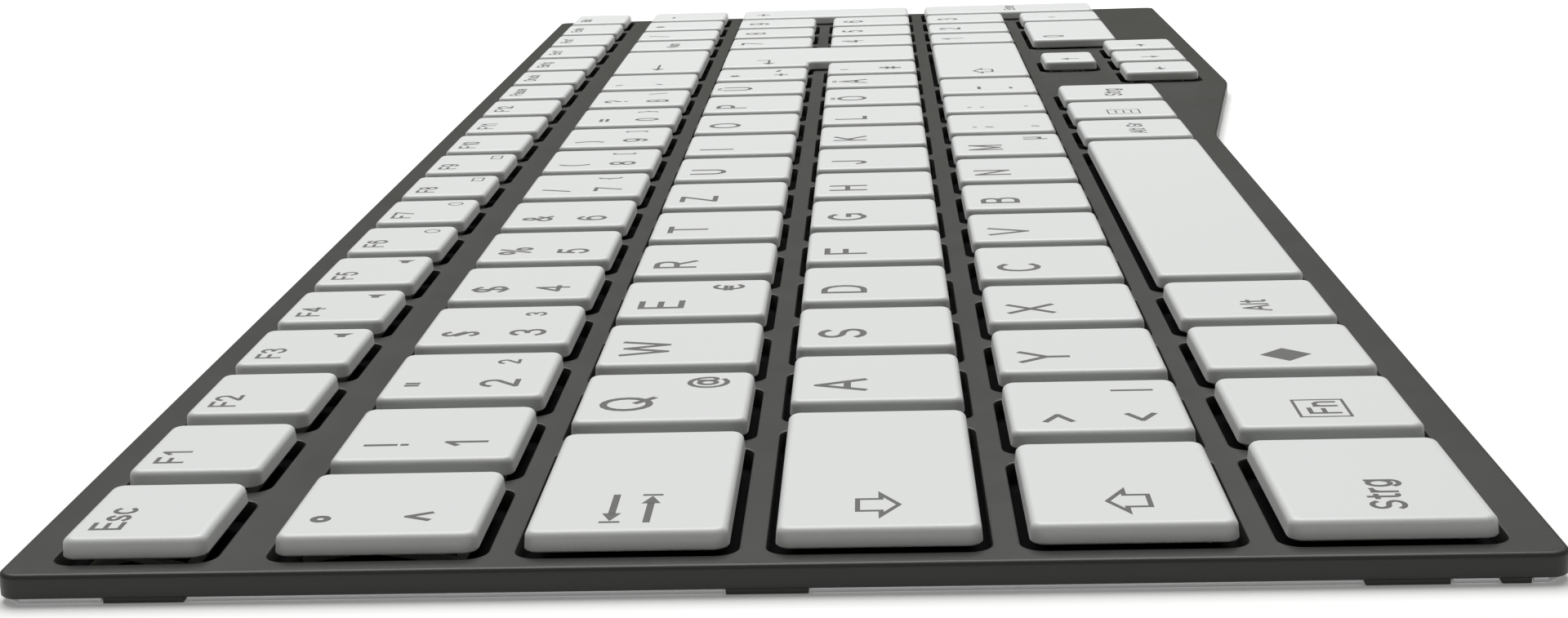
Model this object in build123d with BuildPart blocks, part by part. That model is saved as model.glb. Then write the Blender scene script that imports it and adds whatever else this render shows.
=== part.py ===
"""Replacement keyboard for a laptop: a moulded bezel over a sheet base plate, with scissor-guided keycaps."""
from build123d import *
from math import asin, degrees
from typing import NamedTuple
import os

# Key cells: the share of the field that one key takes, its cap and half of each web round it
key_pitch = 19.0
row_pitch = 18.5
narrow_cell = 16.0
tab_cell = 29.25
caps_lock_cell = 34.5
left_shift_cell = 24.0
ctrl_cell = 24.0
space_cell = 88.0
after_space_cell = 17.8
backspace_cell = 30.5
pad_pitch = 15.5
arrow_pitch = 15.0
arrow_up_depth = 12.25
arrow_row_depth = 15.25
function_depth = 14.3
function_gap = 1.65

# Bezel
web = 2.0
side_rim = 2.25
back_rim = 3.4
front_rim = 3.75
skirt_height = 1.85
skirt_wall = 1.2
corner_radius = 1.6
arris = 0.25
opening_corner = 1.1
step_run = 52.0
step_radius = 30.0

# Locking tabs that reach down past the plate at both ends of the bezel
tab_width = 6.0
tab_depth = 0.9
tab_pitch = 45.5
tab_from_back = 11.0
post_width = 2.1
post_from_tab = 7.6
tab_clearance = 0.2

# Sheet layers under the keys
plate_thickness = 0.4
plate_inset = 0.3
membrane_thickness = 0.2
membrane_clearance = 0.2
ribbon_width = 32.0
ribbon_slot = 3.0
ribbon_from_front = 30.0

# Keycaps
cap_clearance = 0.5
cap_lift = 0.3
cap_height = 1.45
cap_draft = 12.0
cap_corner = 1.2
cap_wall = 1.0
cap_top = 0.75

# Rubber domes and scissor levers
dome_radius = 2.6
dome_taper = 18.0
dome_clearance = 0.1
lever_width = 11.0
lever_side_room = 3.2
lever_end_room = 3.0
lever_thickness = 0.5
lever_arm = 1.0
lever_clearance = 0.05
lever_sink = 0.3

# Counts that the layout fixes
number_count = 13
function_count = 20
pad_columns = 4
tab_count = 3
dome_sides = 6

# Levels
membrane_top = plate_thickness + membrane_thickness
bezel_top = plate_thickness + skirt_height
cap_base = bezel_top + cap_lift
cap_ceiling = cap_base + cap_height - cap_top
inner_height = cap_ceiling - membrane_top
cap_inset = web / 2 + cap_clearance

# Overall sizes and the edges of the key field
block_width = number_count * key_pitch + backspace_cell
field_width = block_width + pad_columns * pad_pitch
overall_width = field_width - web + 2 * side_rim
field_depth = function_depth + function_gap + 4 * row_pitch + arrow_up_depth + arrow_row_depth
overall_depth = field_depth - web + back_rim + front_rim
left = -overall_width / 2
right = overall_width / 2
back = overall_depth / 2
front = -overall_depth / 2
field_left = left + side_rim - web / 2
block_right = field_left + block_width
function_top = back - back_rim + web / 2
number_top = function_top - function_depth - function_gap
bottom_top = number_top - 4 * row_pitch
arrow_left = block_right - 3 * arrow_pitch
arrow_top = bottom_top - arrow_up_depth
row_front = bottom_top - row_pitch + web / 2 - front_rim


class Key(NamedTuple):
    """One key's cell: its name, left and top edges, and size."""

    name: str
    x: float
    y: float
    width: float
    depth: float

    @property
    def centre(self):
        return (self.x + self.width / 2, self.y - self.depth / 2)


def lay_row(cells, x, y, depth):
    """Sets a row of named cells side by side from its left end."""
    row = []
    for name, width in cells:
        row.append(Key(name, x, y, width, depth))
        x += width
    return row


def plain(names, width=key_pitch):
    """Pairs each name with one cell width."""
    return [(name, width) for name in names]


def fill(cells, name, end):
    """Adds a last cell that takes what is left up to the end of the block."""
    return cells + [(name, end - field_left - sum(width for _, width in cells))]


# Rows of the layout, from the back
tab_top = number_top - row_pitch
caps_top = tab_top - row_pitch
shift_top = caps_top - row_pitch
function_pitch = field_width / function_count
function_keys = lay_row(plain(range(function_count), function_pitch), field_left, function_top, function_depth)
number_keys = lay_row(fill(plain(range(number_count)), "backspace", block_right), field_left, number_top, row_pitch)

tab_cells = [("key_tab", tab_cell)]
tab_cells += plain("key_q key_w key_e key_r key_t key_z key_u key_i key_o key_p".split())
tab_cells += plain(["key_u_umlaut", "key_plus"], narrow_cell)
caps_cells = [("key_caps_lock", caps_lock_cell)]
caps_cells += plain("key_a key_s key_d key_f key_g key_h key_j key_k key_l key_o_umlaut".split())
caps_cells += plain(["key_a_umlaut", "key_hash"], narrow_cell)
shift_cells = [("key_left_shift", left_shift_cell)]
shift_cells += plain("key_less_than key_y key_x key_c key_v key_b key_n key_m".split())
shift_cells += plain(["key_comma", "key_period", "key_minus"])
bottom_cells = [("key_left_ctrl", ctrl_cell)] + plain(["key_fn", "key_system", "key_alt"])
bottom_cells += [("key_space", space_cell)] + plain(["key_alt_gr", "key_menu", "key_right_ctrl"], after_space_cell)

moving_keys = lay_row(tab_cells, field_left, tab_top, row_pitch)
moving_keys += lay_row(caps_cells, field_left, caps_top, row_pitch)
moving_keys += lay_row(fill(shift_cells, "key_right_shift", block_right), field_left, shift_top, row_pitch)
moving_keys += lay_row(bottom_cells, field_left, bottom_top, row_pitch)
moving_keys += lay_row([("key_arrow_up", arrow_pitch)], arrow_left + arrow_pitch, bottom_top, arrow_up_depth)
arrow_cells = plain(["key_arrow_left", "key_arrow_down", "key_arrow_right"], arrow_pitch)
moving_keys += lay_row(arrow_cells, arrow_left, arrow_top, arrow_row_depth)

# Numeric pad: three columns of single keys, then two tall keys below the minus key
pad_keys = []
for row_index in range(4):
    row_y = number_top - row_index * row_pitch
    pad_keys += lay_row(plain(range(pad_columns - 1), pad_pitch), block_right, row_y, row_pitch)
pad_last = block_right + (pad_columns - 1) * pad_pitch
pad_keys.append(Key("minus", pad_last, number_top, pad_pitch, row_pitch))
pad_keys.append(Key("plus", pad_last, tab_top, pad_pitch, 2 * row_pitch))
pad_keys.append(Key("enter", pad_last, shift_top, pad_pitch, 2 * row_pitch))
pad_keys.append(Key("zero", block_right, bottom_top, 2 * pad_pitch, row_pitch))
pad_keys.append(Key("decimal", block_right + 2 * pad_pitch, bottom_top, pad_pitch, row_pitch))

# Enter key: an upper arm beside the plus key and a narrower lower arm beside the hash key
enter_upper = Key("key_enter", moving_keys[12].x + narrow_cell, tab_top, 0, row_pitch)
enter_upper = enter_upper._replace(width=block_right - enter_upper.x)
enter_x = field_left + caps_lock_cell + 10 * key_pitch + 2 * narrow_cell
enter_lower = Key("key_enter", enter_x, tab_top, block_right - enter_x, 2 * row_pitch)
fixed_keys = function_keys + number_keys + pad_keys
plain_keys = moving_keys + fixed_keys


def centred(width, depth):
    """Gives a cell of one size with its middle at the origin."""
    return Key("", -width / 2, depth / 2, width, depth)


def by_size(keys):
    """Groups the middles of keys by the size of their cells."""
    groups = {}
    for key in keys:
        groups.setdefault((key.width, key.depth), []).append(key.centre)
    return groups


def footprint(cells, inset, corner):
    """Draws the outline of a key, set in from its cells, with its corners cut."""
    with BuildSketch() as sketch:
        for cell in cells:
            with Locations(cell.centre):
                Rectangle(cell.width - 2 * inset, cell.depth - 2 * inset)
        if corner:
            chamfer(sketch.vertices(), corner)
    return sketch.sketch


def make_cap(cells):
    """Builds one keycap: drafted sides and a flat top, hollow below."""
    with BuildPart() as cap:
        with BuildSketch(Plane.XY.offset(cap_base)):
            add(footprint(cells, cap_inset, cap_corner))
        extrude(amount=cap_height, taper=cap_draft)
        with BuildSketch(Plane.XY.offset(cap_base)):
            add(footprint(cells, cap_inset + cap_wall, 0))
        extrude(amount=cap_height - cap_top, mode=Mode.SUBTRACT)
    return cap.part


def seats(width):
    """Gives the places of a cap's levers from its middle: one, or one near each end of the space bar."""
    if width == space_cell:
        return [(key_pitch - width / 2, 0), (width / 2 - key_pitch, 0)]
    return [(0, 0)]


def make_levers(width, depth, sink=0.0):
    """Builds a cell's scissor levers: flat forks that lean from the membrane up to the cap, or into it."""
    fork_width = min(lever_width, width - 2 * cap_inset - lever_side_room)
    fork_length = min(row_pitch, depth) - 2 * cap_inset - lever_end_room
    rise = inner_height - 2 * lever_clearance - lever_thickness + sink
    lean = degrees(asin(rise / fork_length))
    with BuildPart() as levers:
        for x, y in seats(width):
            middle = Plane(origin=(x, y, membrane_top + (inner_height + sink) / 2))
            with BuildSketch(middle.rotated((lean, 0, 0))):
                Rectangle(fork_width, fork_length)
                with Locations((0, -lever_arm)):
                    Rectangle(fork_width - 2 * lever_arm, fork_length, mode=Mode.SUBTRACT)
            extrude(amount=lever_thickness / 2, both=True)
    return levers.part


def make_fixed_key(width, depth):
    """Builds a keycap in one with its levers, for a row that is kept as one node."""
    with BuildPart() as fixed_key:
        add(make_cap([centred(width, depth)]))
        add(make_levers(width, depth, lever_sink))
    return fixed_key.part


def outline(inset=0.0):
    """Draws the outline of the bezel, which steps forward for the arrow keys, or of a sheet set in from it.

    The bezel's corners are rounded and a sheet's are cut.
    """
    with BuildSketch() as sketch:
        with BuildLine():
            Polyline(
                (left, back),
                (right, back),
                (right, front),
                (arrow_left, front),
                (arrow_left - step_run, row_front),
                (left, row_front),
                close=True,
            )
        make_face()
        steps = sketch.vertices().filter_by_position(Axis.X, arrow_left - step_run, arrow_left)
        fillet(steps, step_radius)
        ends = sketch.vertices().group_by(Axis.X)
        if inset:
            chamfer(ends[0] + ends[-1], corner_radius)
            offset(amount=-inset, kind=Kind.INTERSECTION, mode=Mode.REPLACE)
        else:
            fillet(ends[0] + ends[-1], corner_radius)
    return sketch.sketch


def tab_places(clearance):
    """Lists the locking tabs at both ends as centre and width, grown by a clearance."""
    places = []
    for end, inward in ((left, 1), (right, -1)):
        x = end + inward * tab_depth / 2
        for index in range(tab_count):
            y = back - tab_from_back - index * tab_pitch
            places.append((x, y, tab_width + 2 * clearance))
        places.append((x, y - post_from_tab, post_width + 2 * clearance))
    return places


os.makedirs("parts", exist_ok=True)

# Base plate: flat sheet inside the skirt's outline, notched for the tabs, with the slot for the ribbon tail
with BuildPart() as base_plate:
    with BuildSketch():
        add(outline(plate_inset))
        for x, y, width in tab_places(tab_clearance):
            with Locations((x, y)):
                Rectangle(tab_depth + 2 * tab_clearance, width, mode=Mode.SUBTRACT)
        with Locations((0, row_front + ribbon_from_front)):
            Rectangle(ribbon_width, ribbon_slot, mode=Mode.SUBTRACT)
    extrude(amount=plate_thickness)
base_plate.part.label = "base_plate"
export_step(base_plate.part, "parts/base_plate.step")

# Membrane: the printed switch sheet, lying on the plate in the bezel's recess
with BuildPart() as membrane:
    with BuildSketch(Plane.XY.offset(plate_thickness)):
        add(outline(skirt_wall + membrane_clearance))
    extrude(amount=membrane_thickness)
membrane.part.label = "membrane"
export_step(membrane.part, "parts/membrane.step")

# Bezel: one moulding with an opening for each key, a skirt round the edge and the locking tabs
with BuildPart() as bezel_frame:
    with BuildSketch(Plane.XY.offset(plate_thickness)):
        add(outline())
    extrude(amount=skirt_height)
    chamfer(bezel_frame.faces().sort_by(Axis.Z)[-1].edges(), arris)
    with BuildSketch(Plane.XY.offset(plate_thickness)):
        add(outline(skirt_wall))
    extrude(amount=membrane_thickness, mode=Mode.SUBTRACT)
    with BuildSketch(Plane.XY.offset(membrane_top)):
        for size, places in by_size(plain_keys).items():
            with Locations(*places):
                add(footprint([centred(*size)], web / 2, opening_corner))
        add(footprint([enter_upper, enter_lower], web / 2, opening_corner))
    extrude(amount=skirt_height, mode=Mode.SUBTRACT)
    with BuildSketch():
        for x, y, width in tab_places(0):
            with Locations((x, y)):
                Rectangle(tab_depth, width)
    extrude(amount=plate_thickness)
bezel_frame.part.label = "bezel_frame"
export_step(bezel_frame.part, "parts/bezel_frame.step")

# Rubber domes: one spring under the middle of each key
with BuildPart() as rubber_domes:
    with BuildSketch(Plane.XY.offset(membrane_top)):
        with Locations(*[key.centre for key in plain_keys + [enter_lower]]):
            RegularPolygon(dome_radius, dome_sides)
    extrude(amount=inner_height - dome_clearance, taper=dome_taper)
rubber_domes.part.label = "rubber_domes"
export_step(rubber_domes.part, "parts/rubber_domes.step")

# Scissor levers of the keys that move
with BuildPart() as scissor_levers:
    for size, places in by_size(moving_keys + [enter_lower]).items():
        with Locations(*places):
            add(make_levers(*size))
scissor_levers.part.label = "scissor_levers"
export_step(scissor_levers.part, "parts/scissor_levers.step")

# Keycaps that move, each a piece of its own
cap_forms = {size: make_cap([centred(*size)]) for size in by_size(moving_keys)}
for key in moving_keys:
    with BuildPart() as keycap:
        with Locations(key.centre):
            add(cap_forms[key.width, key.depth])
    keycap.part.label = key.name
    export_step(keycap.part, f"parts/{key.name}.step")

key_enter = make_cap([enter_upper, enter_lower])
key_enter.label = "key_enter"
export_step(key_enter, "parts/key_enter.step")

# Rows past the count of single pieces: each cap is one with its own lever
fixed_rows = {"function_row_keys": function_keys, "number_row_keys": number_keys, "numeric_pad_keys": pad_keys}
for name, keys in fixed_rows.items():
    with BuildPart() as key_row:
        for size, places in by_size(keys).items():
            with Locations(*places):
                add(make_fixed_key(*size))
    key_row.part.label = name
    export_step(key_row.part, f"parts/{name}.step")
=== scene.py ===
"""Dresses a laptop's replacement keyboard: white printed caps in a dark moulded bezel, over a sheet base."""
import logging
import math
from dataclasses import dataclass, field
from enum import Enum
from functools import cache
from typing import Iterable, Sequence

import bmesh
import bpy
from bmesh.types import BMEdge, BMesh, BMVert
from mathutils import Matrix, Vector


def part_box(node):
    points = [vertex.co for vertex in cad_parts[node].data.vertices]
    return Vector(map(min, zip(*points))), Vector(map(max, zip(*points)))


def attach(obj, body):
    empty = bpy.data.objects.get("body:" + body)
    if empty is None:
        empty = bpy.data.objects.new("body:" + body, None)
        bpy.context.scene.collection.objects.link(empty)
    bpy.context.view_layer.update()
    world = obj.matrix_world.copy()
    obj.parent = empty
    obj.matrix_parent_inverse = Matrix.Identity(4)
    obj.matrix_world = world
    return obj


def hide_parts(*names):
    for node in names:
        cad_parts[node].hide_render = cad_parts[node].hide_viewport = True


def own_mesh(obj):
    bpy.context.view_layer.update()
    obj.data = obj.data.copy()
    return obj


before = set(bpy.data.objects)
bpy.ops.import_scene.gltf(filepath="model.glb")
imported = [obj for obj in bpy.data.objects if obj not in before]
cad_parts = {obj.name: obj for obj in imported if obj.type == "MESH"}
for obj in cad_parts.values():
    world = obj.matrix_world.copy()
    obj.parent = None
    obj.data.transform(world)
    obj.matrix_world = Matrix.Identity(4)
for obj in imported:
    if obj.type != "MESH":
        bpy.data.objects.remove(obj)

MM = 0.001
BASE = "keyboard_base"
OBJECT_COORDINATES = 3
NOISE_MIDDLE = 0.5
CRISP_ANGLE = math.radians(38.0)
SAME_PLACE = 0.001
MAIN_SKIN, SECOND_SKIN = 0, 1
log = logging.getLogger("keyboard")

Point = tuple[float, float]
Colour = tuple[float, float, float]


# Finishes


class Signal:
    """A shader socket that takes part in Python arithmetic."""

    def __init__(self, graph: "Graph", socket: bpy.types.NodeSocket) -> None:
        """Keeps the socket and the graph that new nodes go to."""
        self.graph = graph
        self.socket = socket

    def _maths(self, operation: str, left: object, right: object) -> "Signal":
        """Adds one Math node."""
        return self.graph.node("ShaderNodeMath", {"operation": operation}, {0: left, 1: right})

    def __add__(self, other: object) -> "Signal":
        """Adds a value or a signal."""
        return self._maths("ADD", self, other)

    def __sub__(self, other: object) -> "Signal":
        """Takes a value or a signal away."""
        return self._maths("SUBTRACT", self, other)

    def __mul__(self, other: object) -> "Signal":
        """Scales by a value or a signal."""
        return self._maths("MULTIPLY", self, other)

    __radd__ = __add__


class Graph:
    """The node tree of one finish."""

    def __init__(self, name: str) -> None:
        """Starts a material with only its surface shader and output."""
        self.material = bpy.data.materials.new(name)
        self.material.use_nodes = True
        self.tree = self.material.node_tree
        self.shader = next(n for n in self.tree.nodes if n.type == "BSDF_PRINCIPLED")

    def node(
        self, kind: str, settings: dict | None = None, inputs: dict | None = None, out: int = 0
    ) -> Signal:
        """Adds a node.

        Args:
            kind: The node's type.
            settings: Its own properties, set first.
            inputs: Values or signals for its sockets, by name or index.
            out: Which output to hand back.

        Returns:
            The chosen output.
        """
        made = self.tree.nodes.new(kind)
        for name, value in (settings or {}).items():
            setattr(made, name, value)
        for name, value in (inputs or {}).items():
            self.feed(made.inputs[name], value)
        return Signal(self, made.outputs[out])

    def feed(self, socket: bpy.types.NodeSocket, value: object) -> None:
        """Links a signal to a socket, or sets a plain value on it."""
        if isinstance(value, Signal):
            self.tree.links.new(value.socket, socket)
        else:
            socket.default_value = value

    def surface(self, **values: object) -> None:
        """Sets the surface shader's sockets, named with underscores for spaces."""
        for name, value in values.items():
            self.feed(self.shader.inputs[name.replace("_", " ")], value)

    def noise(self, size: float, detail: float, stretch: Sequence[float] = (1, 1, 1)) -> Signal:
        """Gives a noise whose features are about one size, in millimetres."""
        place = self.node("ShaderNodeTexCoord", out=OBJECT_COORDINATES)
        mapped = self.node("ShaderNodeMapping", inputs={"Vector": place, "Scale": tuple(stretch)})
        inputs = {"Vector": mapped, "Scale": 1 / (size * MM), "Detail": detail}
        return self.node("ShaderNodeTexNoise", inputs=inputs)


@dataclass(frozen=True)
class Finish:
    """One finish: colour, gloss and a fine grain in the surface."""

    name: str
    colour: Colour
    roughness: float
    metallic: float = 0.0
    specular: float = 0.5
    grain_size: float = 0.0
    grain_depth: float = 0.0
    grain_detail: float = 2.0
    gloss_spread: float = 0.0
    gloss_size: float = 6.0
    gloss_detail: float = 3.0
    stretch: tuple[float, float, float] = (1.0, 1.0, 1.0)

    def make(self) -> bpy.types.Material:
        """Builds the material.

        Returns:
            A material whose even values sit on the shader itself.
        """
        graph = Graph(self.name)
        graph.surface(
            Base_Color=(*self.colour, 1.0),
            Roughness=self.roughness,
            Metallic=self.metallic,
            Specular_IOR_Level=self.specular,
        )
        if self.grain_depth:
            height = graph.noise(self.grain_size, self.grain_detail, self.stretch)
            bump = {"Strength": 1.0, "Distance": self.grain_depth * MM, "Height": height}
            graph.surface(Normal=graph.node("ShaderNodeBump", inputs=bump))
        if self.gloss_spread:
            patches = graph.noise(self.gloss_size, self.gloss_detail)
            graph.surface(Roughness=self.roughness + (patches - NOISE_MIDDLE) * self.gloss_spread)
        graph.material.diffuse_color = (*self.colour, 1.0)
        return graph.material


class Finishes(Enum):
    """The finishes of the keyboard, by what wears them."""

    KEYCAP = Finish("keycap_plastic", (0.797, 0.812, 0.811), 0.42, grain_size=0.16, grain_depth=0.006)
    INK = Finish("legend_ink", (0.135, 0.135, 0.13), 0.6, specular=0.3)
    BEZEL = Finish(
        "bezel_plastic",
        (0.0518, 0.0542, 0.0490),
        0.36,
        specular=0.22,
        grain_size=0.22,
        grain_depth=0.008,
        gloss_spread=0.10,
    )
    SHEET = Finish(
        "base_sheet",
        (0.70, 0.71, 0.72),
        0.36,
        metallic=1.0,
        grain_size=0.3,
        grain_depth=0.004,
        stretch=(0.03, 1.0, 1.0),
    )
    FILM = Finish("switch_film", (0.006, 0.006, 0.007), 0.9, specular=0.05)
    RUBBER = Finish("dome_rubber", (0.30, 0.30, 0.29), 0.7)
    LEVER = Finish("lever_plastic", (0.74, 0.74, 0.71), 0.5)

    @cache
    def material(self) -> bpy.types.Material:
        """Gives the finish's material, which is made once."""
        return self.value.make()


# Outlines and shells


def rectangle(left: float, front: float, right: float, back: float) -> list[Point]:
    """Lists the corners of an upright rectangle, anticlockwise."""
    return [(left, front), (right, front), (right, back), (left, back)]


@dataclass(frozen=True)
class Rect:
    """A rectangle in plan, in millimetres."""

    left: float
    front: float
    right: float
    back: float

    @classmethod
    def of_node(cls, node: str) -> "Rect":
        """Reads the plan of a CAD node's box."""
        low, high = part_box(node)
        return cls(low.x / MM, low.y / MM, high.x / MM, high.y / MM)

    @property
    def centre(self) -> Vector:
        """The middle."""
        return Vector(((self.left + self.right) / 2, (self.front + self.back) / 2))

    @property
    def width(self) -> float:
        """The size from left to right."""
        return self.right - self.left

    @property
    def depth(self) -> float:
        """The size from front to back."""
        return self.back - self.front

    def corners(self) -> list[Point]:
        """The corners, anticlockwise."""
        return rectangle(self.left, self.front, self.right, self.back)


class Loop:
    """A closed outline in plan with rounded corners: its points, and the way out at each."""

    def __init__(self, corners: Sequence[Point], radii: Sequence[float], steps: int) -> None:
        """Rounds each corner of an anticlockwise outline with its own radius."""
        self.points: list[Vector] = []
        self.ways: list[Vector] = []
        count = len(corners)
        for index, corner in enumerate(corners):
            before, after = Vector(corners[index - 1]), Vector(corners[(index + 1) % count])
            self._round(before, Vector(corner), after, radii[index], steps)

    def _round(self, before: Vector, corner: Vector, after: Vector, radius: float, steps: int) -> None:
        """Adds the arc of one corner, which may turn either way."""
        coming = (corner - before).normalized()
        going = (after - corner).normalized()
        turn = math.atan2(coming.x * going.y - coming.y * going.x, coming.dot(going))
        reach = math.copysign(radius, turn)
        way = Vector((coming.y, -coming.x))
        middle = corner - coming * (radius * math.tan(abs(turn) / 2)) - way * reach
        for step in range(steps + 1):
            out = Matrix.Rotation(turn * step / steps, 2) @ way
            self.points.append(middle + out * reach)
            self.ways.append(out)

    def at(self, grow: float, z: float) -> list[Vector]:
        """The outline grown by an amount, at a height."""
        rise = Vector((0, 0, z))
        return [(point + way * grow).to_3d() + rise for point, way in zip(self.points, self.ways)]


def quarter_round(radius: float, steps: int) -> list[tuple[float, float]]:
    """Gives the pairs of inset and drop of a rounded edge, from the flat top to the wall."""
    turns = [math.pi / 2 * step / steps for step in range(steps + 1)]
    return [(radius * (1 - math.sin(turn)), radius * (1 - math.cos(turn))) for turn in turns]


def drawn(mesh: BMesh, row: Sequence[BMVert], edges: Sequence[BMEdge]) -> list[BMVert]:
    """Extrudes a row of vertices along with its edges.

    Args:
        mesh: The mesh that holds them.
        row: The vertices.
        edges: The edges between them.

    Returns:
        The new vertices, in the same order.
    """
    made = bmesh.ops.extrude_edge_only(mesh, edges=list(edges))["geom"]
    order = {vert: index for index, vert in enumerate(row)}
    fresh: list[BMVert] = list(row)
    for vert in (item for item in made if isinstance(item, BMVert)):
        partners = (edge.other_vert(vert) for edge in vert.link_edges)
        fresh[next(order[partner] for partner in partners if partner in order)] = vert
    return fresh


def thicken(figure: BMesh, rise: float) -> None:
    """Gives a flat figure a thickness, up from its plane or down from it."""
    made = bmesh.ops.extrude_face_region(figure, geom=figure.faces[:])["geom"]
    moved = [item for item in made if isinstance(item, BMVert)]
    bmesh.ops.translate(figure, verts=moved, vec=(0.0, 0.0, rise))
    bmesh.ops.recalc_face_normals(figure, faces=figure.faces)


def linked(name: str, data: bpy.types.ID) -> bpy.types.Object:
    """Makes an object of some data and links it to the scene."""
    made = bpy.data.objects.new(name, data)
    bpy.context.scene.collection.objects.link(made)
    return made


class Shell:
    """A mesh in the making, in millimetres, drawn up ring by ring."""

    def __init__(self) -> None:
        """Starts an empty mesh."""
        self.mesh: BMesh = bmesh.new()

    def start(self, loop: Loop, grow: float, z: float) -> list[BMVert]:
        """Lays the first ring of an outline."""
        ring = [self.mesh.verts.new(place) for place in loop.at(grow, z)]
        for index, vert in enumerate(ring):
            self.mesh.edges.new((ring[index - 1], vert))
        return ring

    def edges(self, ring: Sequence[BMVert]) -> list[BMEdge]:
        """Gives the edges of a ring."""
        return [self.mesh.edges.get((ring[index - 1], vert)) for index, vert in enumerate(ring)]

    def draw(self, ring: Sequence[BMVert], loop: Loop, grow: float, z: float) -> list[BMVert]:
        """Draws a ring out to the same outline at another growth and height.

        Args:
            ring: The ring to draw from.
            loop: The outline that both rings follow.
            grow: How far the new ring stands outside the outline.
            z: The new ring's height.

        Returns:
            The new ring, in the same order.
        """
        fresh = drawn(self.mesh, ring, self.edges(ring))
        for vert, place in zip(fresh, loop.at(grow, z)):
            vert.co = place
        return fresh

    def close(self, ring: Sequence[BMVert]) -> None:
        """Closes a ring with one flat face."""
        self.mesh.faces.new(ring)

    def fill(self, rings: Iterable[Sequence[BMVert]]) -> None:
        """Fills a flat region between an outer ring and the rings of its openings."""
        edges = [edge for ring in rings for edge in self.edges(ring)]
        bmesh.ops.triangle_fill(
            self.mesh, use_beauty=True, use_dissolve=False, edges=edges, normal=(0, 0, 1)
        )

    def box(self, low: Sequence[float], high: Sequence[float], soft: float) -> None:
        """Adds a block with softened edges."""
        size = [b - a for a, b in zip(low, high)]
        place = Matrix.Translation([(a + b) / 2 for a, b in zip(low, high)])
        made = bmesh.ops.create_cube(self.mesh, size=1.0, matrix=place @ Matrix.Diagonal((*size, 1.0)))
        edges = list({edge for vert in made["verts"] for edge in vert.link_edges})
        bmesh.ops.bevel(
            self.mesh, geom=edges, offset=soft, segments=2, profile=0.5, affect="EDGES", material=-1
        )

    def take(self, part: BMesh, skin: int) -> None:
        """Joins another mesh in, with one material index, and frees it."""
        for face in part.faces:
            face.material_index = skin
        carrier = bpy.data.meshes.new("carrier")
        part.to_mesh(carrier)
        part.free()
        self.mesh.from_mesh(carrier)
        bpy.data.meshes.remove(carrier)

    def piece(self, name: str, *finishes: Finishes) -> bpy.types.Object:
        """Turns the shell into an object at the origin.

        Args:
            name: The piece's name.
            finishes: Its finishes, by material index.

        Returns:
            The linked object.
        """
        bmesh.ops.recalc_face_normals(self.mesh, faces=self.mesh.faces)
        bmesh.ops.scale(self.mesh, vec=(MM, MM, MM), verts=self.mesh.verts)
        for face in self.mesh.faces:
            face.smooth = True
        for edge in self.mesh.edges:
            edge.smooth = len(edge.link_faces) == 2 and edge.calc_face_angle(0.0) < CRISP_ANGLE
        data = bpy.data.meshes.new(name)
        self.mesh.to_mesh(data)
        self.mesh.free()
        for finish in finishes:
            data.materials.append(finish.material())
        log.info("piece %s: %d faces", name, len(data.polygons))
        return linked(name, data)


# Printed legends


class Spot(Enum):
    """Where a mark sits on a cap: the sides it is placed from, the way in from each, and a word's height.

    Lengths are in millimetres. From the left, the back and the front the way in ends at the mark's edge,
    from the right at its middle, and along the middle it is a shift.
    """

    LETTER = ("left", "back", 3.2, 2.2, 4.7)
    DIGIT = ("left", "back", 3.2, 2.2, 4.0)
    UPPER = ("left", "back", 3.3, 2.35, 3.75)
    LOWER = ("left", "front", 3.3, 2.85, 3.65)
    SMALL = ("right", "front", 3.8, 3.75, 2.9)
    SMALL_DIGIT = ("right", "front", 3.8, 3.75, 2.2)
    BACK_ANGLE = ("left", "back", 2.7, 2.2, 3.8)
    FRONT_ANGLE = ("left", "front", 2.6, 2.6, 3.8)
    THIRD = ("right", "front", 3.8, 2.8, 3.4)
    BAR = ("right", "front", 3.8, 2.8, 3.3)
    WORD = ("left", "middle", 2.4, -0.2, 2.75)
    LONG_WORD = ("left", "middle", 2.4, -0.2, 2.4)
    PAD_WORD = ("left", "middle", 2.4, -0.2, 2.3)
    IN_FRAME = ("left", "middle", 3.8, -0.1, 2.7)
    FUNCTION = ("left", "back", 2.3, 1.75, 2.5)
    LONG_FUNCTION = ("left", "back", 2.3, 1.75, 2.1)
    FRAMED = ("left", "middle", 2.8, 0.0)
    ARROW = ("left", "middle", 2.1, 0.0)
    ICON = ("right", "front", 3.1, 1.9)

    def __init__(self, across: str, along: str, inward: float, forward: float, height: float = 0.0) -> None:
        """Keeps the spot's sides and lengths."""
        self.across = across
        self.along = along
        self.inward = inward
        self.forward = forward
        self.height = height


ARC_STEP = 22
LEAST_ARC_STEPS = 3
DOT = 0.02
DOTS_HEIGHT = 1.22
DOTS_GAP = 0.32


def line(*numbers: float) -> list[Point]:
    """Pairs up the numbers of a pen stroke as its points."""
    return list(zip(numbers[::2], numbers[1::2]))


def arc(x: float, y: float, across: float, along: float, start: float, end: float) -> list[Point]:
    """Lists the points of an arc of an ellipse, from one angle to another."""
    steps = max(LEAST_ARC_STEPS, round(abs(end - start) / ARC_STEP))
    turns = [math.radians(start + (end - start) * step / steps) for step in range(steps + 1)]
    return [(x + across * math.cos(turn), y + along * math.sin(turn)) for turn in turns]


def oval(x: float, y: float, across: float, along: float) -> list[Point]:
    """Lists the points of a whole ellipse, which ends at its start."""
    return arc(x, y, across, along, 0, 360)


def dots(left: float) -> list[list[Point]]:
    """Draws the two dots over a vowel, from the place of the first."""
    return [line(x, DOTS_HEIGHT, x, DOTS_HEIGHT + DOT) for x in (left, left + DOTS_GAP)]


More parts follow.
